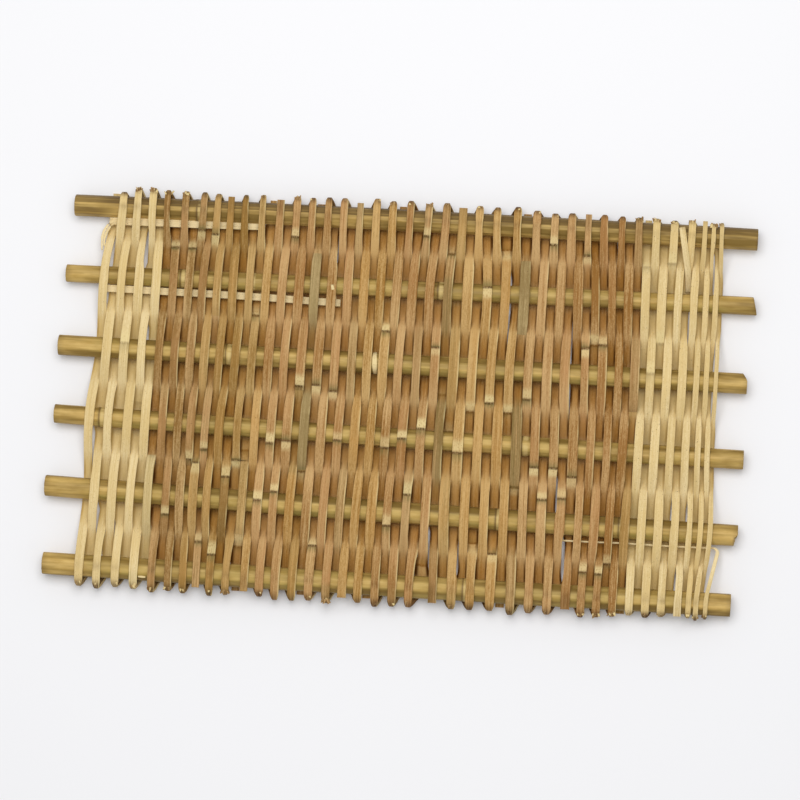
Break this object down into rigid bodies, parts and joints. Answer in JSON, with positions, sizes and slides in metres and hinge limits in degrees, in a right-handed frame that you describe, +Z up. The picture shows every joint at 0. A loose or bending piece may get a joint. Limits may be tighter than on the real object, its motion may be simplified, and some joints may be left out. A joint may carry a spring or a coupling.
{
  "type": "woven bamboo draining mat",
  "caption": "Flat draining mat of shaved bamboo rods held side by side by long bamboo splints, woven over and under the rods and folded round the edge rods, so that water drips through.",
  "frame": {"origin": "on the surface that the mat lies on, under the middle of its box", "axes": "+X along the rods, +Y from the lower edge rod to the upper one, +Z up out of the face that wares lie on"},
  "size_m": [0.4088, 0.2332, 0.0167],
  "materials": {
    "rod_bamboo": "knife-shaved bamboo, satin",
    "pale_splint": "split bamboo, pale straw, matt with fine fibres",
    "brown_splint": "split bamboo, aged tan brown, matt with fine fibres",
    "honey_splint": "split bamboo, honey, matt with fine fibres",
    "grey_splint": "split bamboo, weathered grey green, matt"
  },
  "bodies": {
    "root": {"rod_1": "rod_bamboo", "rod_2": "rod_bamboo", "rod_3": "rod_bamboo", "rod_4": "rod_bamboo", "rod_5": "rod_bamboo", "rod_6": "rod_bamboo", "pale_left_strip": "pale_splint", "brown_strip_01": "brown_splint", "brown_strip_02": "honey_splint", "brown_strip_03": "brown_splint", "brown_strip_04": "honey_splint", "brown_strip_05": "brown_splint", "brown_strip_06": "honey_splint", "brown_strip_07": "brown_splint", "brown_strip_08": "honey_splint", "brown_strip_09": "brown_splint", "brown_strip_10": "brown_splint", "brown_strip_11": "honey_splint", "brown_strip_12": "brown_splint", "brown_strip_13": "honey_splint", "brown_strip_14": "brown_splint", "brown_strip_15": "brown_splint", "brown_strip_16": "honey_splint", "grey_strip_1": "grey_splint", "grey_strip_2": "grey_splint", "pale_right_strip": "pale_splint", "narrow_strip": "pale_splint", "tucked_strip": "pale_splint", "leaning_strip": "pale_splint"}
  },
  "joints": []
}
